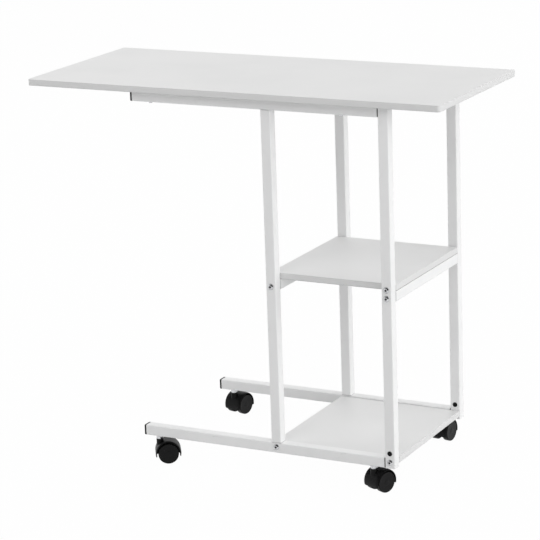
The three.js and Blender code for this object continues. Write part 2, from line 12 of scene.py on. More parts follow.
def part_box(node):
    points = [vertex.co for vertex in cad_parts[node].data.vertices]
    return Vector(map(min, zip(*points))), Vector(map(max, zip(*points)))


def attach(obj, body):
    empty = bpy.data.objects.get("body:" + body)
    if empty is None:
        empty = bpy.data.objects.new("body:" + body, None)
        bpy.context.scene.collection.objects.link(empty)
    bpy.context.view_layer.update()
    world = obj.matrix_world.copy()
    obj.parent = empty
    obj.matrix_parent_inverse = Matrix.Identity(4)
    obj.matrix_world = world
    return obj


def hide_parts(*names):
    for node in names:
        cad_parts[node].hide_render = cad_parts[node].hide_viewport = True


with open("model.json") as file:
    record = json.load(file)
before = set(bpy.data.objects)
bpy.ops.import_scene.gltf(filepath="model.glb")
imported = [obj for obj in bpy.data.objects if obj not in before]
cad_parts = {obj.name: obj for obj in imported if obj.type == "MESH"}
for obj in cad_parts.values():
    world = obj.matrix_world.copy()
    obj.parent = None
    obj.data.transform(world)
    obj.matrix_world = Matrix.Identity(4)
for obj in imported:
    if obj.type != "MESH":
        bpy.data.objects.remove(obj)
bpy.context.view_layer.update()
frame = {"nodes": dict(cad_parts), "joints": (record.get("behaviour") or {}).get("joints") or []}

bl_info = {
    "name": "Rolling Side Table",
    "version": (1, 0, 0),
    "blender": (4, 5, 0),
    "location": "View3D > Sidebar > Side Table",
    "description": "Finishes, fasteners, caps, casters and stage of a rolling side table",
    "category": "Object",
}

MM = 0.001
FRAME_BODY = "frame"
BOARDS = ("tabletop", "middle_shelf", "bottom_shelf")
CORNERS = ("front_left", "rear_left", "front_right", "rear_right")
NODES = frame["nodes"]
JOINTS = {joint["name"]: joint for joint in frame["joints"]}
WHITE = (1.0, 1.0, 1.0, 1.0)
SHOWN_RAYS = ("Is Camera Ray", "Is Glossy Ray", "Is Transmission Ray")

# Which way is outwards: along the depth on a side, along the axle on a wheel
SIDES = {"front": -1.0, "rear": 1.0}
WHEELS = {"right_wheel": -1.0, "left_wheel": 1.0}

# Each lamp's azimuth and elevation, in degrees
LAMPS = {"left_lamp": (275.0, 25.0), "rear_lamp": (180.0, 25.0), "front_lamp": (10.0, 48.0)}

# Reach of the floor and of the view in metres, and the sensor's width in millimetres
FLOOR_REACH = 8.0
FLOOR_SQUARES = 8
SENSOR_WIDTH = 36.0
VIEW_REACH = 60.0

# Points round a turned piece, and steps along the caster's arch
HEAD_SIDES = 36
HUB_SIDES = 36
STEM_SIDES = 48
SOCKET_SIDES = 40
BORE_SIDES = 32
WHEEL_SIDES = 72
HOOD_STEPS = 56
WEB_STEPS = 48

# Steps over a fastener's dome and round the edges of the hood and its boss
DOME_STEPS = 8
EDGE_STEPS = 7
BOSS_STEPS = 4

# Angles in degrees above which an edge stays sharp
PLAIN_EDGE = 40.0
HEAD_EDGE = 32.0
MOULDED_EDGE = 35.0
STEM_EDGE = 25.0

# Gaps below which points are joined, in a node of the frame and in a made skin
WELD_GAP = 0.01 * MM
SKIN_GAP = 0.001 * MM

# Bends below which faces are made one, and above which an edge is softened
FLAT_ANGLE = radians(1.0)
SOFTENED_ANGLE = radians(60.0)

# Upward share of a normal below which a board's face counts as its edge
BAND_SLOPE = 0.6


def number(name, description, value, **kind):
    """A number property of the given kind."""
    return bpy.props.FloatProperty(name=name, description=description, default=value, **kind)


def length(name, description, millimetres):
    """A length property that is written in millimetres and kept in metres."""
    return number(name, description, millimetres * MM, min=0.0, unit="LENGTH", precision=4)


def share(name, description, value):
    """A plain share from 0 to 1."""
    return number(name, description, value, min=0.0, max=1.0, subtype="FACTOR")


def angle(name, description, degrees):
    """An angle property that is written in degrees."""
    return number(name, description, radians(degrees), subtype="ANGLE")


def colour(name, description, red, green, blue):
    """A colour property in linear light."""
    kind = {"subtype": "COLOR", "size": 4, "min": 0.0, "max": 1.0}
    opaque = (red, green, blue, 1.0)
    return bpy.props.FloatVectorProperty(name=name, description=description, default=opaque, **kind)


class BoardSettings(bpy.types.PropertyGroup):
    """Melamine faced boards."""

    face: colour("Face", "Melamine on the faces", 0.808, 0.808, 0.806)
    shade: colour("Shade", "Slightly darker drift in the melamine", 0.795, 0.796, 0.795)
    band: colour("Edge band", "Plastic strip round the board's edge", 0.74, 0.741, 0.74)
    seam: colour("Seam", "Glue line between band and faces", 0.50, 0.50, 0.49)
    seam_inset: length("Seam inset", "Distance of the glue line from the face", 0.9)
    seam_width: length("Seam width", "Half width of the glue line", 0.14)
    # Painted shade: a dark line along a shelf's band where it lies on its rails stands in for the
    # shadow in that gap.
    joint: colour("Joint", "Dark line where a shelf lies on its rails", 0.26, 0.26, 0.26)
    joint_height: length("Joint height", "Height of that dark line", 0.8)
    joint_share: share("Joint share", "Strength of that dark line", 0.7)
    pebble: length("Pebble", "Size of the melamine's fine pebble", 1.2)
    roughness: share("Roughness", "Mean roughness of the melamine", 0.42)
    arris: length("Arris", "Softened edge of the boards", 0.5)


class SteelSettings(bpy.types.PropertyGroup):
    """White powder coated tube."""

    coat: colour("Coat", "Powder coat", 0.905, 0.907, 0.907)
    shade: colour("Shade", "Slightly darker drift in the coat", 0.878, 0.88, 0.881)
    scuff: colour("Scuff", "Rubbed places near the floor", 0.66, 0.664, 0.666)
    # Painted shade: dark lines where tubes meet stand in for the shadow in the gaps between them.
    joint: colour("Joint", "Dark line where two tubes meet", 0.22, 0.22, 0.22)
    joint_width: length("Joint width", "Half width of that dark line", 0.7)
    joint_share: share("Joint share", "Strength of that dark line", 0.6)
    peel: length("Peel", "Size of the coat's orange peel", 1.8)
    scuff_height: length("Scuff height", "Level below which the rails are rubbed", 90.0)
    roughness: share("Roughness", "Mean roughness of the coat", 0.36)
    gloss: share("Gloss", "Weight of the clear skin on the coat", 0.12)
    gloss_roughness: share("Gloss roughness", "Roughness of that clear skin", 0.2)
    arris: length("Arris", "Softened cut edge of the tubes", 0.35)


class PlasticSettings(bpy.types.PropertyGroup):
    """Black moulded plastic of caps, plugs, hoods and wheels."""

    hood: colour("Hood", "Plastic of the hoods, caps and plugs", 0.0055, 0.0055, 0.0057)
    wheel: colour("Wheel", "Plastic of the wheels", 0.0062, 0.0062, 0.0064)
    bloom: colour("Bloom", "Grey bloom on the plastic", 0.012, 0.012, 0.0124)
    dust: colour("Dust", "Dust picked up by the tread", 0.042, 0.040, 0.037)
    grain: length("Grain", "Size of the moulded grain", 0.55)
    ring_pitch: length("Ring pitch", "Spacing of the turned rings on a wheel's face", 0.7)
    sheen: share("Sheen", "Strength of the plastic's reflection", 0.12)
    roughness: share("Roughness", "Mean roughness of the plastic", 0.36)


class ZincSettings(bpy.types.PropertyGroup):
    """Zinc plated fasteners and pins."""

    plate: colour("Plate", "Zinc plate", 0.66, 0.665, 0.68)
    dull: colour("Dull", "Duller spangle in the plate", 0.50, 0.505, 0.52)
    # Dark oxide and painted shade together: the bottom of a socket is darkened for its shadow as well
    # as its oxide.
    recess: colour("Recess", "Dark bottom of a socket", 0.075, 0.075, 0.077)
    spangle: length("Spangle", "Size of the spangle", 1.6)
    roughness: share("Roughness", "Mean roughness of the plate", 0.10)


class FastenerSettings(bpy.types.PropertyGroup):
    """Domed bolts, screws and hole plugs."""

    bolt_head: length("Bolt head", "Radius of a bolt's head", 6.0)
    bolt_rise: length("Bolt rise", "Height of a bolt's head", 3.3)
    bolt_shank: length("Bolt shank", "Radius of a bolt's shank", 3.0)
    bolt_socket: length("Bolt socket", "Corner radius of a bolt's socket", 2.3)
    bolt_socket_depth: length("Bolt socket depth", "Depth of a bolt's socket", 1.9)
    screw_head: length("Screw head", "Radius of a screw's head", 4.6)
    screw_rise: length("Screw rise", "Height of a screw's head", 3.0)
    screw_shank: length("Screw shank", "Radius of a screw's shank", 2.0)
    screw_socket: length("Screw socket", "Corner radius of a screw's socket", 2.0)
    screw_socket_depth: length("Screw socket depth", "Depth of a screw's socket", 1.6)
    plug_head: length("Plug head", "Radius of a hole plug's head", 4.8)
    plug_rise: length("Plug rise", "Height of a hole plug's head", 1.1)
    plug_peg: length("Plug peg", "Radius of a hole plug's peg", 3.4)
    seat: length("Seat", "Gap under a head", 0.2)


class CapSettings(bpy.types.PropertyGroup):
    """Square caps in the rails' ends."""

    left_flange: length("Left flange", "Thickness of a left cap's flange", 3.0)
    right_flange: length("Right flange", "Thickness of a right cap's flange", 1.1)
    corner: length("Corner", "Corner radius of the flange", 2.0)
    lip: length("Lip", "Overlap of a left cap's rim on the tube", 0.8)
    lip_rise: length("Lip rise", "Height of that rim above the tube", 0.15)
    lip_fit: length("Lip fit", "Gap between that rim and the tube", 0.01)
    recess: length("Recess", "Depth of a right cap's flange below the tube's faces", 0.7)
    plug_side: length("Plug side", "Width of the plug inside the tube", 17.2)
    plug_corner: length("Plug corner", "Corner radius of the plug", 0.8)


class CasterSettings(bpy.types.PropertyGroup):
    """Hooded twin-wheel casters."""

    wheel_radius: length("Wheel radius", "Radius of the tread", 20.0)
    wheel_inner: length("Wheel inner face", "Inner face from the middle", 7.5)
    wheel_outer: length("Wheel outer face", "Outer face from the middle", 19.1)
    wheel_rim: length("Wheel rim", "Radial thickness of the rim", 3.4)
    wheel_wall: length("Wheel wall", "Thickness of the closed face", 3.6)
    wheel_dish: length("Wheel dish", "Depth of the shallow ring in the face", 0.25)
    hub_radius: length("Hub radius", "Radius of hub and wheel boss", 6.0)
    bore_radius: length("Bore radius", "Radius of the wheel's bore", 2.75)
    hood_inner: length("Hood inner radius", "Inside of the hood", 22.5)
    hood_outer: length("Hood outer radius", "Outside of the hood", 25.0)
    hood_half_width: length("Hood half width", "Half width of the hood", 18.9)
    hood_shoulder: length("Hood shoulder", "Fall of the hood towards its edge", 2.1)
    hood_taper: length("Hood taper", "Width over which the hood falls", 6.0)
    hood_drop: length("Hood drop", "Leg tips below the axle", 7.2)
    hood_slant: length("Hood slant", "Rise of a leg tip's cut towards the wheel", 3.0)
    web_half_width: length("Web half width", "Half width of the web", 6.0)
    boss_radius: length("Boss radius", "Radius of the stem's boss", 6.8)
    boss_top: length("Boss top", "Top of the boss above the floor", 46.8)
    socket_radius: length("Socket radius", "Radius of the stem's socket", 4.25)
    socket_depth: length("Socket depth", "Depth of the stem's socket", 14.0)
    stem_radius: length("Stem radius", "Radius of the stem", 4.0)
    neck_radius: length("Neck radius", "Radius of the stem's neck", 5.5)
    neck_height: length("Neck height", "Height of the stem's neck", 1.6)
    collar_radius: length("Collar radius", "Corner radius of the collar", 7.5)
    collar_height: length("Collar height", "Height of the collar", 5.6)
    neck_bottom: length("Neck bottom", "Lower end of the neck above the floor", 47.05)
    axle_arris: length("Axle arris", "Softened edge of the axle", 0.2)


class StageSettings(bpy.types.PropertyGroup):
    """Floor, light and camera."""

    floor: colour("Floor", "Plain pale floor", 0.62, 0.62, 0.62)
    floor_glow: share("Floor glow", "Share of plain white that the camera sees", 0.985)
    sky: number("Sky", "Strength of the even light from all round", 0.30, min=0.0)
    right_wall: number("Right wall", "Extra strength of the soft light from the right", 2.15, min=0.0)
    ceiling: share("Ceiling", "Darkness of the room above the camera in polished metal", 0.97)
    left_lamp: number("Left lamp", "Power of the lamp on the left", 72.0, min=0.0, unit="POWER")
    rear_lamp: number("Rear lamp", "Power of the lamp at the rear", 62.0, min=0.0, unit="POWER")
    front_lamp: number("Front lamp", "Power of the lamp at the front", 56.0, min=0.0, unit="POWER")
    lamp_size: length("Lamp size", "Side of a square lamp", 3400.0)
    lamp_distance: length("Lamp distance", "Distance of a lamp from the table", 5200.0)
    azimuth: angle("Azimuth", "Camera's turn from the front towards the right", 27.72)
    elevation: angle("Elevation", "Camera's angle above the horizon", 15.11)
    roll: angle("Roll", "Camera's turn about its line of sight", -1.99)
    distance: length("Distance", "Camera's distance from its aim", 4615.5)
    lens: number("Lens", "Focal length on a 36 mm sensor", 159.58, min=0.0, unit="CAMERA")
    aim: bpy.props.FloatVectorProperty(
        name="Aim",
        description="Point at the picture's middle",
        default=(-0.0140, -0.0070, 0.3617),
        subtype="TRANSLATION",
    )


def group(kind, name):
    """A group of settings."""
    return bpy.props.PointerProperty(type=kind, name=name)


class SideTableSettings(bpy.types.PropertyGroup):
    """All settings of the table."""

    board: group(BoardSettings, "Boards")
    steel: group(SteelSettings, "Frame")
    plastic: group(PlasticSettings, "Plastic")
    zinc: group(ZincSettings, "Zinc")
    fastener: group(FastenerSettings, "Fasteners")
    cap: group(CapSettings, "Caps")
    caster: group(CasterSettings, "Casters")
    stage: group(StageSettings, "Stage")


# Shader maths


class Value:
    """A shader socket that takes part in Python arithmetic."""

    def __init__(self, shading, socket):
        self.shading = shading
        self.socket = socket

    def __add__(self, other):
        return self.shading.maths("ADD", self, other)

    __radd__ = __add__

    def __sub__(self, other):
        return self.shading.maths("SUBTRACT", self, other)

    def __rsub__(self, other):
        return self.shading.maths("SUBTRACT", other, self)

    def __mul__(self, other):
        return self.shading.maths("MULTIPLY", self, other)

    __rmul__ = __mul__

    def __lt__(self, other):
        return self.shading.maths("LESS_THAN", self, other)

    def __gt__(self, other):
        return self.shading.maths("GREATER_THAN", self, other)

    def __abs__(self):
        return self.shading.maths("ABSOLUTE", self)

    def largest(self, other):
        return self.shading.maths("MAXIMUM", self, other)

    def eased(self, low, high):
        """0 below low, 1 above high and a smooth rise between them."""
        sockets = {"Value": self, "From Min": low, "From Max": high}
        settings = {"interpolation_type": "SMOOTHSTEP", "clamp": True}
        return self.shading.value("Result", "ShaderNodeMapRange", sockets, **settings)


class Shading:
    """A node tree under construction."""

    def __init__(self, tree):
        self.tree = tree
        self.tree.nodes.clear()

    def node(self, kind, sockets=None, **settings):
        """Adds a node, sets it up, then feeds its sockets by name or index."""
        made = self.tree.nodes.new(kind)
        for key, value in settings.items():
            setattr(made, key, value)
        for key, value in (sockets or {}).items():
            self.feed(made.inputs[key], value)
        return made

    def value(self, output, kind, sockets=None, **settings):
        """Adds a node and takes one of its outputs, by name or index."""
        return Value(self, self.node(kind, sockets, **settings).outputs[output])

    def feed(self, socket, value):
        if isinstance(value, Value):
            self.tree.links.new(value.socket, socket)
        else:
            socket.default_value = value

    def maths(self, operation, first, second=0.0):
        return self.value("Value", "ShaderNodeMath", {0: first, 1: second}, operation=operation)

    def mixed(self, amount, first, second):
        """A colour between two colours."""
        return self.value(2, "ShaderNodeMix", {0: amount, 6: first, 7: second}, data_type="RGBA")

    def parts(self, vector):
        node = self.node("ShaderNodeSeparateXYZ", {0: vector})
        return [Value(self, output) for output in node.outputs]

    def seen_by(self, *rays):
        """1 where the tree is seen by one of the named kinds of ray, and 0 elsewhere."""
        path = self.node("ShaderNodeLightPath")
        seen = Value(self, path.outputs[rays[0]])
        for ray in rays[1:]:
            seen = seen.largest(Value(self, path.outputs[ray]))
        return seen

    def blended(self, amount, first, second, output):
        """Ends the tree in a mix of two shaders."""
        mixed = self.node("ShaderNodeMixShader", {0: amount})
        self.tree.links.new(first.outputs[0], mixed.inputs[1])
        self.tree.links.new(second.outputs[0], mixed.inputs[2])
        self.tree.links.new(mixed.outputs[0], output.inputs["Surface"])


class Finish(Shading):
    """A material that ends in one Principled shader."""

    def __init__(self, name):
        self.material = bpy.data.materials.new(name)
        self.material.use_nodes = True
        super().__init__(self.material.node_tree)
        self.shader = self.node("ShaderNodeBsdfPrincipled")
        self.output = self.node("ShaderNodeOutputMaterial")
        self.tree.links.new(self.shader.outputs["BSDF"], self.output.inputs["Surface"])

    @cached_property
    def place(self):
        """Position on the piece, in metres in the table's frame at rest."""
        return self.value("Object", "ShaderNodeTexCoord")

    def facing(self):
        """The three parts of the surface's own normal."""
        return self.parts(self.value("Normal", "ShaderNodeNewGeometry"))

    def carried(self, name):
        """A number that the mesh carries at each point."""
        return self.value("Fac", "ShaderNodeAttribute", attribute_name=name)

    def scaled(self, factors):
        """The position, multiplied by a factor along each axis."""
        sockets = {0: self.place, 1: factors}
        return self.value("Vector", "ShaderNodeVectorMath", sockets, operation="MULTIPLY")

    def noise(self, size, detail=2.0, roughness=0.5, factors=None):
        """Soft noise whose features are about the given size, divided by any factors."""
        place = self.scaled(factors) if factors else self.place
        sockets = {"Vector": place, "Scale": 1.0 / size, "Detail": detail, "Roughness": roughness}
        return self.value("Fac", "ShaderNodeTexNoise", sockets)

    def cells(self, size):
        """Distance to the middle of small cells of about the given size."""
        sockets = {"Vector": self.place, "Scale": 1.0 / size}
        return self.value("Distance", "ShaderNodeTexVoronoi", sockets)

    def bump(self, height, strength, depth):
        sockets = {"Height": height, "Strength": strength, "Distance": depth}
        return self.value("Normal", "ShaderNodeBump", sockets)

    def surface(self, **sockets):
        """Feeds the shader: Base_Color stands for the socket Base Color."""
        for key, value in sockets.items():
            self.feed(self.shader.inputs[key.replace("_", " ")], value)
        return self.material


def melamine(name, look, top, bottom, joint):
    """White melamine with a fine pebble and an edge band between two glue lines.

    The joint is the share of a painted shade line along the band's lower edge, for the shadow where a
    shelf lies on its rails.
    """
    finish = Finish(name)
    level = finish.parts(finish.place)[2]
    side = abs(finish.facing()[2]) < BAND_SLOPE
    from_top = abs(top - look.seam_inset - level) < look.seam_width
    from_bottom = abs(level - bottom - look.seam_inset) < look.seam_width
    seam = side * from_top.largest(from_bottom)
    drift = finish.noise(160.0 * MM, 3.0, 0.55).eased(0.35, 0.72)
    rub = finish.noise(30.0 * MM, 4.0, 0.6, (0.35, 2.4, 1.0)).eased(0.60, 0.78)
    pebble = finish.noise(look.pebble, 3.0, 0.6)
    chatter = finish.noise(4.0 * MM, factors=(1.0, 1.0, 0.08))
    face = finish.mixed(drift, look.face, look.shade)
    body = finish.mixed(side, face, look.band)
    lined = finish.mixed(seam * 0.55, body, look.seam)
    # Painted shade along the foot of the band, for the shadow where the shelf lies on its rails
    painted_gap_shade = side * (level < bottom + look.joint_height) * joint
    relief = pebble * (1.0 - side) + chatter * side * 0.25 - seam * 1.5
    return finish.surface(
        Base_Color=finish.mixed(painted_gap_shade, lined, look.joint),
        Roughness=look.roughness + drift * 0.06 + rub * 0.07 - side * 0.06,
        Normal=finish.bump(relief, 0.10, 0.3 * MM),
    )


def powder_coat(look):
    """White powder coat with an orange peel, rubbed places near the floor and painted shade lines
    where tubes meet.
    """
    finish = Finish("white_powder_coat")
    across, depth, level = finish.parts(finish.place)
    drift = finish.noise(110.0 * MM, 3.0, 0.55).eased(0.36, 0.70)
    peel = finish.noise(look.peel, 2.0, 0.45)
    fine = finish.noise(look.peel * 0.35, 1.0)
    low = 1.0 - level.eased(look.scuff_height * 0.75, look.scuff_height)
    rub = finish.noise(12.0 * MM, 4.0, 0.65, (0.3, 1.0, 1.6)).eased(0.63, 0.74)
    scuff = rub * (low * 0.55 + 0.08)
    coat = finish.mixed(drift, look.coat, look.shade)
    low_end, high_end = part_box("right_shelf_rail")
    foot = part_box("front_left_post")[0].z
    between_posts = (depth > low_end.y) * (depth < high_end.y)
    under_shelf = (abs(level - high_end.z) < look.joint_width) * between_posts
    at_rail = (level < high_end.z) * (level > low_end.z)
    front_end = abs(depth - low_end.y) < look.joint_width
    rear_end = abs(depth - high_end.y) < look.joint_width
    slack = 0.05 * MM
    above_foot = (level > foot - slack) * (level < foot + look.joint_width)
    at_foot = above_foot * (across < low_end.x)
    # Painted shade in the gaps: under the shelf, at the ends of the shelf rails and where the left
    # posts stand on the base rails
    painted_gap_shade = under_shelf.largest(at_rail * front_end.largest(rear_end)).largest(at_foot)
    rubbed = finish.mixed(scuff, coat, look.scuff)
    return finish.surface(
        Base_Color=finish.mixed(painted_gap_shade * look.joint_share, rubbed, look.joint),
        Roughness=look.roughness + drift * 0.07 + scuff * 0.2,
        Normal=finish.bump(peel + fine * 0.3, 0.16, 0.4 * MM),
        Coat_Weight=look.gloss,
        Coat_Roughness=look.gloss_roughness,
    )


def moulded_plastic(look):
    """Black moulded plastic with a fine grain and a grey bloom."""
    finish = Finish("black_moulded_plastic")
    grain = finish.cells(look.grain)
    bloom = finish.noise(12.0 * MM, 4.0, 0.6).eased(0.48, 0.74)
    scratch = finish.noise(4.0 * MM, 3.0, 0.7, (3.0, 0.4, 1.0)).eased(0.66, 0.72)
    return finish.surface(
        Base_Color=finish.mixed(bloom * 0.45 + scratch * 0.25, look.hood, look.bloom),
        Roughness=look.roughness + bloom * 0.10 + scratch * 0.12,
        Normal=finish.bump(grain, 0.12, 0.2 * MM),
        Specular_IOR_Level=look.sheen,
    )


def wheel_plastic(look, caster):
    """Black wheel plastic, turned rings on the face and dust on the tread."""
    finish = Finish("black_wheel_plastic")
    radius = finish.carried("from_axle")
    tread = radius.eased(caster.wheel_radius * 0.975, caster.wheel_radius * 0.998)
    patch = finish.noise(6.0 * MM, 4.0, 0.62)
    dust = tread * patch.eased(0.38, 0.70)
    bloom = finish.noise(10.0 * MM, 3.0).eased(0.45, 0.75)
    rings = finish.maths("SINE", radius * (2.0 * pi / look.ring_pitch))
    body = finish.mixed(bloom * 0.5, look.wheel, look.bloom)
    return finish.surface(
        Base_Color=finish.mixed(dust * 0.7, body, look.dust),
        Roughness=look.roughness - 0.04 + bloom * 0.08 + dust * 0.25,
        Normal=finish.bump(rings * 0.25 + patch * tread, 0.10, 0.2 * MM),
        Specular_IOR_Level=look.sheen,
    )


def zinc_plate(look):
    """Bright zinc plate with a soft spangle and sockets darkened with oxide and painted shade."""
    finish = Finish("bright_zinc_plate")
    spangle = finish.cells(look.spangle)
    cloud = finish.noise(look.spangle * 2.5, 3.0).eased(0.35, 0.70)
    # Points inside a socket take the recess colour: dark oxide and painted shade together
    sunken = finish.carried("sunken")
    plate = finish.mixed(cloud, look.plate, look.dull)
    return finish.surface(
        Base_Color=finish.mixed(sunken, plate, look.recess),
        Roughness=look.roughness + spangle * 0.10 + cloud * 0.08 + sunken * 0.3,
        Metallic=1.0,
        Normal=finish.bump(spangle, 0.05, 0.2 * MM),
    )


def finish_of(name, make, *arguments):
    """The named finish, made once and shared."""
    return bpy.data.materials.get(name) or make(*arguments)


# Mesh making


def modify(piece, name, kind, **settings):
    """Adds a modifier and sets it up."""
    modifier = piece.modifiers.new(name, kind)
    for key, value in settings.items():
        setattr(modifier, key, value)


def soften(node, width, material):
    """Gives a node of the frame its finish, softened edges and smooth round corners."""
    piece = NODES[node]
    piece.data.materials.clear()
    piece.data.materials.append(material)
    for polygon in piece.data.polygons:
        polygon.use_smooth = True
    bevel = {"width": width, "segments": 2, "limit_method": "ANGLE", "angle_limit": SOFTENED_ANGLE}
    modify(piece, "weld", "WELD", merge_threshold=WELD_GAP)
    modify(piece, "flatten", "DECIMATE", decimate_type="DISSOLVE", angle_limit=FLAT_ANGLE)
    modify(piece, "soft_edges", "BEVEL", use_clamp_overlap=True, **bevel)
    modify(piece, "even_shading", "WEIGHTED_NORMAL", mode="FACE_AREA", keep_sharp=True)


def polar(radius, turn, height=0.0):
    """A point at a turn round +Z."""
    return Vector((radius * cos(turn), radius * sin(turn), height))


def round_ring(radius, height, count):
    """A ring of points round +Z."""
    return [polar(radius, 2.0 * pi * i / count, height) for i in range(count)]


def hex_ring(corner_radius, height, count):
    """A ring of points on a hexagon round +Z."""
    points = []
    for i in range(count):
        turn = 2.0 * pi * i / count
        within = turn % (pi / 3.0) - pi / 6.0
        radius = corner_radius * cos(pi / 6.0) / cos(within)
        points.append(polar(radius, turn, height))
    return points


def square_ring(side, corner, height, steps=6):
    """A ring of points on a square with rounded corners round +Z."""
    reach = side / 2.0 - corner
    points = []
    for quarter in range(4):
        start = quarter * pi / 2.0
        middle = Vector((reach, reach, height))
        middle.rotate(Matrix.Rotation(start, 3, "Z"))
        for i in range(steps + 1):
            points.append(middle + polar(corner, start + i * pi / 2.0 / steps))
    return points


def add_loft(work, rings, place=Matrix.Identity(4)):
    """Joins rings of equal count into a skin and closes both ends."""
    rows = [[work.verts.new(place @ point) for point in ring] for ring in rings]
    count = len(rows[0])
    for lower, upper in zip(rows, rows[1:]):
        for i in range(count):
            j = (i + 1) % count
            work.faces.new((lower[i], lower[j], upper[j], upper[i]))
    work.faces.new(rows[0])
    work.faces.new(rows[-1])


def add_turned(work, profile, count, place=Matrix.Identity(4)):
    """A turned form from (radius, height) stations, closed at both ends.

    A station that isn't round names its ring as well.
    """
    rings = []
    for radius, height, *shape in profile:
        ring = shape[0] if shape else round_ring
        rings.append(ring(radius, height, count))
    add_loft(work, rings, place)


def add_object(name, data):
    """Puts a new object into the scene."""
    made = bpy.data.objects.new(name, data)
    bpy.context.scene.collection.objects.link(made)
    return made


def add_mesh(name, work):
    """Turns the work into an object in the scene."""
    mesh = bpy.data.meshes.new(name)
    work.to_mesh(mesh)
    work.free()
    return add_object(name, mesh)


def new_piece(name, work, material, body, replaced, sharp=PLAIN_EDGE):
    """Turns the work into a piece that rides on a body in place of a node."""
    bmesh.ops.recalc_face_normals(work, faces=work.faces)
    piece = add_mesh(name, work)
    mesh = piece.data
    mesh.polygons.foreach_set("use_smooth", [True] * len(mesh.polygons))
    mesh.set_sharp_from_angle(angle=radians(sharp))
    mesh.materials.append(material)
    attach(piece, body)
    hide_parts(replaced)
    return piece


def one_skin(work, hollows):
    """Merges overlapping shells into one closed skin and cuts the hollows out of it."""
    for source in (work, hollows):
        bmesh.ops.recalc_face_normals(source, faces=source.faces)
    shells = add_mesh("shells", work)
    tools = add_mesh("hollows", hollows)
    cut = {"operation": "DIFFERENCE", "solver": "EXACT", "use_self": True, "object": tools}
    modify(shells, "cut", "BOOLEAN", **cut)
    finished = shells.evaluated_get(bpy.context.evaluated_depsgraph_get())
    skin = bmesh.new()
    skin.from_mesh(finished.to_mesh())
    finished.to_mesh_clear()
    for helper in (shells, tools):
        bpy.data.meshes.remove(helper.data)
    if not skin.faces:
        raise RuntimeError("the shells left no skin")
    bmesh.ops.remove_doubles(skin, verts=skin.verts, dist=SKIN_GAP)
    return skin


def carry(piece, name, measure):
    """Stores a number at each point of the mesh, for its finish to read."""
    stored = piece.data.attributes.new(name, "FLOAT", "POINT")
    stored.data.foreach_set("value", [measure(vertex.co) for vertex in piece.data.vertices])


def quarter_round(side, top, side_fall, top_fall, steps):
    """Points round an outer corner, from the side up to the top."""
    points = []
    for i in range(steps + 1):
        turn = i * pi / 2.0 / steps
        points.append((side - side_fall * (1.0 - cos(turn)), top - top_fall * (1.0 - sin(turn))))
    return points


def pointing(direction, origin):
    """A matrix that lays +Z work along a direction, starting at an origin."""
    turn = Vector((0.0, 0.0, 1.0)).rotation_difference(Vector(direction)).to_matrix().to_4x4()
    return Matrix.Translation(origin) @ turn


# Fasteners


def head_place(node, axis, outward, rise):
    """Frame of a head whose seat lies its rise behind its face, and the reach behind the seat."""
    low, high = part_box(node)
    direction = Vector()
    direction[axis] = outward
    origin = (low + high) / 2.0
    origin[axis] = (low if outward < 0.0 else high)[axis] - outward * rise
    return pointing(direction, origin), (high - low)[axis] - rise


def fastener_profile(head, rise, shank, socket, depth, seat, reach):
    """Stations of a domed head with a hexagonal socket, on a plain shank that reaches inwards."""
    flat = socket * 1.5
    face = seat + rise
    dome = []
    for i in range(1, DOME_STEPS + 1):
        radius = head + (flat - head) * i / DOME_STEPS
        swell = (1.0 - (radius / head) ** 2) / (1.0 - (flat / head) ** 2)
        dome.append((radius, seat + rise * (0.10 + 0.90 * swell)))
    return [
        (shank * 0.7, -reach),
        (shank, 0.4 * shank - reach),
        (shank, seat),
        (head * 0.97, seat),
        (head, seat + rise * 0.06),
        *dome,
        (socket * 1.06, face, hex_ring),
        (socket, face - socket * 0.1, hex_ring),
        (socket, face - depth, hex_ring),
        (socket * 0.2, face - depth - socket * 0.2),
    ]


def make_fastener(node, kind, place, reach, sizes, material):
    """A bolt or a screw, with the points inside its socket marked for their dark oxide and painted
    shade.
    """
    parts = ("head", "rise", "shank", "socket", "socket_depth")
    head, rise, shank, socket, depth = (getattr(sizes, f"{kind}_{part}") for part in parts)
    profile = fastener_profile(head, rise, shank, socket, depth, sizes.seat, reach)
    work = bmesh.new()
    add_turned(work, profile, HEAD_SIDES, place)
    piece = new_piece(f"{node}_domed", work, material, FRAME_BODY, node, HEAD_EDGE)
    back = place.inverted()
    rim = sizes.seat + rise - socket * 0.05

    # Points inside the socket get the dark oxide and painted shade
    def sunken(point):
        local = back @ point
        return float(0.0 < local.z < rim and local.xy.length < socket * 1.03)

    carry(piece, "sunken", sunken)


def make_bolt(node, sizes, material):
    """A bolt whose head looks out of the front or the rear."""
    outward = SIDES[node.split("_")[0]]
    place, reach = head_place(node, 1, outward, sizes.bolt_rise + sizes.seat)
    make_fastener(node, "bolt", place, reach, sizes, material)


def make_screw(node, sizes, material):
    """A screw whose head looks down."""
    low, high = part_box(node)
    middle = (low + high) / 2.0
    rise = sizes.screw_rise + sizes.seat
    turn = Matrix.Rotation(pi, 4, "X")
    place = Matrix.Translation((middle.x, middle.y, low.z + rise)) @ turn
    make_fastener(node, "screw", place, high.z - low.z - rise, sizes, material)


def make_plug(node, outward, sizes, material):
    """A hole plug with a domed head."""
    head = sizes.plug_head
    rise = sizes.plug_rise
    place, reach = head_place(node, 1, outward, rise)
    profile = [
        (sizes.plug_peg * 0.8, -reach),
        (sizes.plug_peg, -reach * 0.85),
        (sizes.plug_peg, sizes.seat),
        (head * 0.97, sizes.seat),
        (head, sizes.seat + rise * 0.08),
        (head, rise * 0.40),
        (head * 0.94, rise * 0.62),
        (head * 0.80, rise * 0.82),
        (head * 0.55, rise * 0.94),
        (head * 0.28, rise * 0.99),
        (head * 0.05, rise),
    ]
    work = bmesh.new()
    add_turned(work, profile, HEAD_SIDES, place)
    new_piece(f"{node}_domed", work, material, FRAME_BODY, node)


# Caps


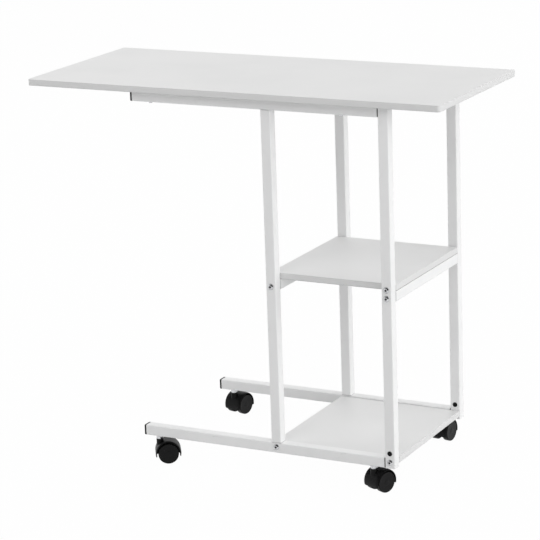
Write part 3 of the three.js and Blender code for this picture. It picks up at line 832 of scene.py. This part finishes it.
def make_cap(node, outward, flange, lip, sizes, material):
    """A square cap with a crowned face and a plug in the tube.

    With a lip its rim laps over the tube, and without one it lies below the tube's faces.
    """
    low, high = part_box(node)
    side = high.y - low.y
    place, reach = head_place(node, 0, outward, flange)
    edge = flange * 0.16
    if lip:
        inside = side + 2.0 * sizes.lip_fit
        outside = side + 2.0 * sizes.lip_rise
        rim = [(inside, 0.0), (inside, -lip), (outside, 0.1 * edge - lip), (outside, flange - edge)]
    else:
        side -= 2.0 * sizes.recess
        rim = [(side - 0.2 * edge, 0.0), (side, 0.15 * edge), (side, flange - edge)]
    rings = [
        square_ring(sizes.plug_side - 2.0 * edge, sizes.plug_corner * 0.6, -reach),
        square_ring(sizes.plug_side, sizes.plug_corner, -reach * 0.85),
        square_ring(sizes.plug_side, sizes.plug_corner, 0.0),
        *(square_ring(width, sizes.corner, height) for width, height in rim),
        square_ring(side - 0.4 * edge, sizes.corner, flange - 0.45 * edge),
        square_ring(side - 1.2 * edge, sizes.corner * 0.9, flange - 0.14 * edge),
        square_ring(side - 3.0 * edge, sizes.corner * 0.8, flange),
    ]
    work = bmesh.new()
    add_loft(work, rings, place)
    new_piece(f"{node}_crowned", work, material, FRAME_BODY, node)


# Casters


def caster_place(corner):
    """The caster's own frame: stem on +Z, trail along +X, floor at zero."""
    swivel = Vector(JOINTS[f"{corner}_caster_swivel"]["pos_m"])
    axle = Vector(JOINTS[f"{corner}_caster_right_wheel_spin"]["pos_m"])
    trail = axle - swivel
    turn = atan2(trail.y, trail.x)
    place = Matrix.Translation((swivel.x, swivel.y, 0.0)) @ Matrix.Rotation(turn, 4, "Z")
    return place, hypot(trail.x, trail.y)


def hood_section(sizes):
    """Outline of the hood's wall as (radius, sideways) points, once round."""
    half = sizes.hood_half_width
    inner = sizes.hood_inner
    lip = 0.2 * MM
    points = [(inner, half - lip), (inner + lip, half)]
    falls = (sizes.hood_taper, sizes.hood_shoulder)
    for sideways, radius in quarter_round(half, sizes.hood_outer, *falls, EDGE_STEPS):
        points.append((radius, sideways))
    mirrored = [(radius, -sideways) for radius, sideways in reversed(points)]
    return points + mirrored


def on_arch(sizes, trail, radius, dip, step, steps):
    """Place along the trail, and level, of a step on the arch whose tips dip below the axle."""
    turn = -dip + (pi + 2.0 * dip) * step / steps
    return trail + radius * cos(turn), sizes.wheel_radius + radius * sin(turn)


def add_hood(work, sizes, trail):
    """The round arch over both wheels, with its leg tips cut on a slant."""
    section = hood_section(sizes)
    rings = []
    for i in range(HOOD_STEPS + 1):
        ring = []
        for radius, sideways in section:
            thinness = (sizes.hood_outer - radius) / (sizes.hood_outer - sizes.hood_inner)
            dip = asin((sizes.hood_drop - sizes.hood_slant * thinness) / radius)
            along, level = on_arch(sizes, trail, radius, dip, i, HOOD_STEPS)
            ring.append(Vector((along, sideways, level)))
        rings.append(ring)
    add_loft(work, rings)


def add_web(work, sizes, trail):
    """The flat web between the wheels, from the hood down to the axle's hub."""
    reach = (sizes.hood_inner + sizes.hood_outer) / 2.0
    tip_gap = 1.0 * MM
    soft = 0.5 * MM
    dip = asin((sizes.hood_drop - sizes.hood_slant - tip_gap) / reach)
    rings = []
    for side, inset in ((-1.0, soft), (-1.0, 0.0), (1.0, 0.0), (1.0, soft)):
        sideways = side * (sizes.web_half_width - (0.0 if inset else soft))
        radius = reach - inset
        ring = []
        for i in range(WEB_STEPS + 1):
            along, level = on_arch(sizes, trail, radius, dip, i, WEB_STEPS)
            ring.append(Vector((along, sideways, level + (inset if i in (0, WEB_STEPS) else 0.0))))
        rings.append(ring)
    add_loft(work, rings)


def add_boss(work, sizes):
    """The boss round the stem."""
    bottom = sizes.wheel_radius + sizes.hub_radius
    corner = 0.9 * MM
    profile = [(sizes.boss_radius * 0.5, bottom), (sizes.boss_radius, bottom)]
    profile += quarter_round(sizes.boss_radius, sizes.boss_top, corner, corner, BOSS_STEPS)
    add_turned(work, profile, STEM_SIDES)


def lying_axle(sizes, trail, outward=1.0):
    """A matrix that lays +Z work along the axle, from the middle of the caster outwards."""
    turn = Matrix.Rotation(-outward * pi / 2.0, 4, "X")
    return Matrix.Translation((trail, 0.0, sizes.wheel_radius)) @ turn


def add_hub(work, sizes, trail):
    """The hub that carries the axle between the wheels."""
    clearance = 0.25 * MM
    chamfer = 0.4 * MM
    reach = sizes.wheel_inner - clearance
    profile = [
        (sizes.bore_radius, -reach),
        (sizes.hub_radius - chamfer, -reach),
        (sizes.hub_radius, chamfer - reach),
        (sizes.hub_radius, reach - chamfer),
        (sizes.hub_radius - chamfer, reach),
        (sizes.bore_radius, reach),
    ]
    add_turned(work, profile, HUB_SIDES, lying_axle(sizes, trail))


def add_bores(hollows, sizes, trail):
    """The stem's socket with its softened mouth, and the bore for the axle."""
    mouth = 0.3 * MM
    socket = [
        (sizes.socket_radius, sizes.boss_top - sizes.socket_depth),
        (sizes.socket_radius, sizes.boss_top - mouth),
        (sizes.socket_radius + 2.0 * mouth, sizes.boss_top + mouth),
    ]
    add_turned(hollows, socket, SOCKET_SIDES)
    reach = sizes.wheel_inner
    bore = [(sizes.bore_radius, -reach), (sizes.bore_radius, reach)]
    add_turned(hollows, bore, BORE_SIDES, lying_axle(sizes, trail))


def make_hood(corner, sizes, material):
    """The caster's body: hood, web, boss and hub in one skin."""
    place, trail = caster_place(corner)
    work = bmesh.new()
    add_hood(work, sizes, trail)
    add_web(work, sizes, trail)
    add_boss(work, sizes)
    add_hub(work, sizes, trail)
    hollows = bmesh.new()
    add_bores(hollows, sizes, trail)
    skin = one_skin(work, hollows)
    skin.transform(place)
    body = f"{corner}_caster"
    node = f"{body}_body"
    new_piece(f"{node}_moulded", skin, material, body, node, MOULDED_EDGE)


def wheel_profile(sizes):
    """Half section of a wheel as (radius, sideways) stations, from the face round to the bore."""
    radius = sizes.wheel_radius
    outer = sizes.wheel_outer
    inner = sizes.wheel_inner
    dish = sizes.wheel_dish
    hub = sizes.hub_radius
    wall = outer - sizes.wheel_wall
    rim = radius - sizes.wheel_rim
    middle = 0.2 * MM
    return [
        (middle, outer),
        (hub * 0.85, outer),
        (hub * 0.93, outer - dish * 0.2),
        (hub * 0.97, outer - dish),
        (hub * 1.25, outer - dish * 0.85),
        (rim + 0.3 * MM, outer - dish * 0.6),
        (rim + 0.9 * MM, outer - dish * 0.45),
        (rim + 1.3 * MM, outer),
        (rim + 2.2 * MM, outer),
        (rim + 2.6 * MM, outer - 0.10 * MM),
        (radius - 0.50 * MM, outer - 0.32 * MM),
        (radius - 0.24 * MM, outer - 0.66 * MM),
        (radius - 0.08 * MM, outer - 1.15 * MM),
        (radius - 0.02 * MM, outer - 1.70 * MM),
        (radius, outer - 2.4 * MM),
        (radius, inner + 2.4 * MM),
        (radius - 0.12 * MM, inner + 1.2 * MM),
        (radius - 0.45 * MM, inner + 0.4 * MM),
        (radius - 1.0 * MM, inner),
        (rim + 0.3 * MM, inner),
        (rim, inner + 0.3 * MM),
        (rim, wall - 0.8 * MM),
        (rim - 0.8 * MM, wall),
        (hub + 0.8 * MM, wall),
        (hub, wall - 0.8 * MM),
        (hub, inner),
        (sizes.bore_radius, inner),
        (sizes.bore_radius, outer - sizes.wheel_wall / 2.0),
        (middle, outer - sizes.wheel_wall / 2.0),
    ]


def make_wheel(corner, wheel, sizes, material):
    """A wheel whose points carry their distance from the axle."""
    place, trail = caster_place(corner)
    facing = place @ lying_axle(sizes, trail, WHEELS[wheel])
    work = bmesh.new()
    add_turned(work, wheel_profile(sizes), WHEEL_SIDES, facing)
    node = f"{corner}_caster_{wheel}"
    piece = new_piece(f"{node}_turned", work, material, node, node, MOULDED_EDGE)
    back = facing.inverted()
    carry(piece, "from_axle", lambda point: (back @ point).xy.length)


def make_stem(corner, sizes, material):
    """The plated stem with its neck and hexagonal collar."""
    node = f"{corner}_caster_stem"
    low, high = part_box(node)
    middle = (low + high) / 2.0
    neck_top = sizes.neck_bottom + sizes.neck_height
    collar_top = neck_top + sizes.collar_height
    neck_chamfer = 0.3 * MM
    collar_chamfer = 0.5 * MM
    collar_flat = sizes.collar_radius * 0.86
    radius = sizes.stem_radius
    tip = radius * 0.75
    tip_length = radius * 0.3
    profile = [
        (tip, low.z),
        (radius, low.z + tip_length),
        (radius, sizes.neck_bottom),
        (sizes.neck_radius - neck_chamfer, sizes.neck_bottom),
        (sizes.neck_radius, sizes.neck_bottom + neck_chamfer),
        (sizes.neck_radius, neck_top),
        (collar_flat, neck_top),
        (sizes.collar_radius, neck_top + collar_chamfer, hex_ring),
        (sizes.collar_radius, collar_top - collar_chamfer, hex_ring),
        (collar_flat, collar_top),
        (radius, collar_top),
        (radius, high.z - tip_length),
        (tip, high.z),
    ]
    work = bmesh.new()
    add_turned(work, profile, STEM_SIDES, Matrix.Translation((middle.x, middle.y, 0.0)))
    new_piece(f"{node}_plated", work, material, FRAME_BODY, node, STEM_EDGE)


# Stage


def soft_floor(look):
    """Pale floor that keeps the shadow, and lets the camera see mostly plain white."""
    finish = Finish("pale_floor")
    finish.surface(Base_Color=look.floor, Roughness=0.9, Specular_IOR_Level=0.1)
    glow = finish.node("ShaderNodeEmission", {"Color": WHITE, "Strength": 1.0})
    seen = finish.seen_by(*SHOWN_RAYS) * look.floor_glow
    finish.blended(seen, finish.shader, glow, finish.output)
    return finish.material


def white_world(look):
    """Soft light from all round, stronger on the right, which shows as plain white.

    Polished metal also shows the dark room above the camera.
    """
    world = bpy.data.worlds.new("studio")
    world.use_nodes = True
    shading = Shading(world.node_tree)
    across, depth, height = shading.parts(shading.value("Generated", "ShaderNodeTexCoord"))
    rightward = across.largest(0.0)
    strength = look.sky + rightward * rightward * look.right_wall
    light = shading.node("ShaderNodeBackground", {"Color": WHITE, "Strength": strength})
    above_camera = (height + across * 0.5).eased(0.04, 0.26) * (0.0 - depth).eased(0.0, 0.25)
    ceiling = shading.seen_by("Is Glossy Ray") * above_camera * look.ceiling
    shown = shading.node("ShaderNodeBackground", {"Color": WHITE, "Strength": 1.0 - ceiling})
    output = shading.node("ShaderNodeOutputWorld")
    shading.blended(shading.seen_by(*SHOWN_RAYS), light, shown, output)
    bpy.context.scene.world = world


def heading(azimuth, elevation):
    """Direction from the table: azimuth 0 is the front and a quarter turn the right."""
    level = cos(elevation)
    return Vector((sin(azimuth) * level, -cos(azimuth) * level, sin(elevation)))


def add_lamp(name, look):
    """A large square lamp that looks at the middle of the table and isn't mirrored in it."""
    light = bpy.data.lights.new(name, "AREA")
    light.shape = "SQUARE"
    light.size = look.lamp_size
    light.energy = getattr(look, name)
    lamp = add_object(name, light)
    lamp.visible_glossy = False
    away = heading(*map(radians, LAMPS[name]))
    middle = Vector((0.0, 0.0, look.aim.z))
    turn = (-away).to_track_quat("-Z", "Y").to_matrix().to_4x4()
    lamp.matrix_world = Matrix.Translation(middle + away * look.lamp_distance) @ turn


def add_floor(look):
    """The plain floor that the table stands on."""
    work = bmesh.new()
    bmesh.ops.create_grid(work, x_segments=FLOOR_SQUARES, y_segments=FLOOR_SQUARES, size=FLOOR_REACH)
    floor = add_mesh("floor", work)
    floor.data.materials.append(soft_floor(look))


def add_camera(look):
    """The camera on its line of sight to the aim, turned about that line."""
    back = heading(look.azimuth, look.elevation)
    flat_right = Vector((0.0, 0.0, 1.0)).cross(back).normalized()
    flat_up = back.cross(flat_right)
    right = flat_right * cos(look.roll) + flat_up * sin(look.roll)
    up = back.cross(right)
    eye = look.aim + back * look.distance
    turn = Matrix((right, up, back)).transposed().to_4x4()
    lens = bpy.data.cameras.new("photo_camera")
    lens.sensor_width = SENSOR_WIDTH
    lens.lens = look.lens
    lens.clip_end = VIEW_REACH
    camera = add_object("photo_camera", lens)
    camera.matrix_world = Matrix.Translation(eye) @ turn
    bpy.context.scene.camera = camera


# Operators


class SIDETABLE_OT_boards(bpy.types.Operator):
    """Finish the tabletop and the two shelves in white melamine"""

    bl_idname = "side_table.boards"
    bl_label = "Boards"

    def execute(self, context):
        look = context.scene.side_table.board
        for node in BOARDS:
            low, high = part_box(node)
            # Only the middle shelf gets the painted shade line over its rails
            joint = look.joint_share if node == "middle_shelf" else 0.0
            soften(node, look.arris, melamine(f"{node}_melamine", look, high.z, low.z, joint))
        return {"FINISHED"}


class SIDETABLE_OT_tubes(bpy.types.Operator):
    """Finish the posts and rails in white powder coat"""

    bl_idname = "side_table.tubes"
    bl_label = "Posts and rails"

    def execute(self, context):
        look = context.scene.side_table.steel
        coat = powder_coat(look)
        for node in sorted(node for node in NODES if node.endswith(("_post", "_rail"))):
            soften(node, look.arris, coat)
        return {"FINISHED"}


class SIDETABLE_OT_caps(bpy.types.Operator):
    """Make the crowned caps in the rails' ends"""

    bl_idname = "side_table.caps"
    bl_label = "End caps"

    def execute(self, context):
        settings = context.scene.side_table
        sizes = settings.cap
        plastic = finish_of("black_moulded_plastic", moulded_plastic, settings.plastic)
        for side in SIDES:
            for level in ("top", "base"):
                rail = f"{side}_{level}_rail"
                make_cap(f"{rail}_left_cap", -1.0, sizes.left_flange, sizes.lip, sizes, plastic)
                make_cap(f"{rail}_right_cap", 1.0, sizes.right_flange, 0.0, sizes, plastic)
        return {"FINISHED"}


class SIDETABLE_OT_fasteners(bpy.types.Operator):
    """Make the socket-head bolts, the tabletop screws and the hole plugs"""

    bl_idname = "side_table.fasteners"
    bl_label = "Fasteners and plugs"

    def execute(self, context):
        settings = context.scene.side_table
        sizes = settings.fastener
        zinc = finish_of("bright_zinc_plate", zinc_plate, settings.zinc)
        plastic = finish_of("black_moulded_plastic", moulded_plastic, settings.plastic)
        for node in sorted(node for node in NODES if node.endswith("_bolt")):
            make_bolt(node, sizes, zinc)
        for side, outward in SIDES.items():
            make_screw(f"{side}_left_tabletop_screw", sizes, zinc)
            make_screw(f"{side}_right_tabletop_screw", sizes, zinc)
            make_plug(f"{side}_right_post_outer_plug", outward, sizes, plastic)
            make_plug(f"{side}_right_post_inner_plug", -outward, sizes, plastic)
        return {"FINISHED"}


class SIDETABLE_OT_casters(bpy.types.Operator):
    """Make the hoods, wheels, stems and axles of the casters"""

    bl_idname = "side_table.casters"
    bl_label = "Casters"

    def execute(self, context):
        settings = context.scene.side_table
        sizes = settings.caster
        zinc = finish_of("bright_zinc_plate", zinc_plate, settings.zinc)
        plastic = finish_of("black_moulded_plastic", moulded_plastic, settings.plastic)
        tread = finish_of("black_wheel_plastic", wheel_plastic, settings.plastic, sizes)
        for corner in CORNERS:
            make_hood(corner, sizes, plastic)
            make_stem(corner, sizes, zinc)
            soften(f"{corner}_caster_axle", sizes.axle_arris, zinc)
            for wheel in WHEELS:
                make_wheel(corner, wheel, sizes, tread)
        return {"FINISHED"}


class SIDETABLE_OT_stage(bpy.types.Operator):
    """Set the floor, the light and the camera"""

    bl_idname = "side_table.stage"
    bl_label = "Stage"

    def execute(self, context):
        look = context.scene.side_table.stage
        context.scene.view_settings.view_transform = "Standard"
        add_floor(look)
        white_world(look)
        for lamp in LAMPS:
            add_lamp(lamp, look)
        add_camera(look)
        return {"FINISHED"}


class SIDETABLE_PT_panel(bpy.types.Panel):
    """Settings and steps of the rolling side table"""

    bl_idname = "SIDETABLE_PT_panel"
    bl_label = "Rolling Side Table"
    bl_space_type = "VIEW_3D"
    bl_region_type = "UI"
    bl_category = "Side Table"

    def draw(self, context):
        settings = context.scene.side_table
        for section in settings.__annotations__:
            look = getattr(settings, section)
            box = self.layout.box()
            box.label(text=settings.bl_rna.properties[section].name)
            for key in look.__annotations__:
                box.prop(look, key)
        for step in STEPS:
            self.layout.operator(step.bl_idname)


STEPS = (
    SIDETABLE_OT_boards,
    SIDETABLE_OT_tubes,
    SIDETABLE_OT_caps,
    SIDETABLE_OT_fasteners,
    SIDETABLE_OT_casters,
    SIDETABLE_OT_stage,
)

GROUPS = (
    BoardSettings,
    SteelSettings,
    PlasticSettings,
    ZincSettings,
    FastenerSettings,
    CapSettings,
    CasterSettings,
    StageSettings,
    SideTableSettings,
)


def register():
    for kind in (*GROUPS, *STEPS, SIDETABLE_PT_panel):
        bpy.utils.register_class(kind)
    bpy.types.Scene.side_table = bpy.props.PointerProperty(type=SideTableSettings)


def unregister():
    del bpy.types.Scene.side_table
    for kind in reversed((*GROUPS, *STEPS, SIDETABLE_PT_panel)):
        bpy.utils.unregister_class(kind)


def main():
    register()
    bpy.ops.side_table.boards()
    bpy.ops.side_table.tubes()
    bpy.ops.side_table.caps()
    bpy.ops.side_table.fasteners()
    bpy.ops.side_table.casters()
    bpy.ops.side_table.stage()


if __name__ == "__main__":
    main()
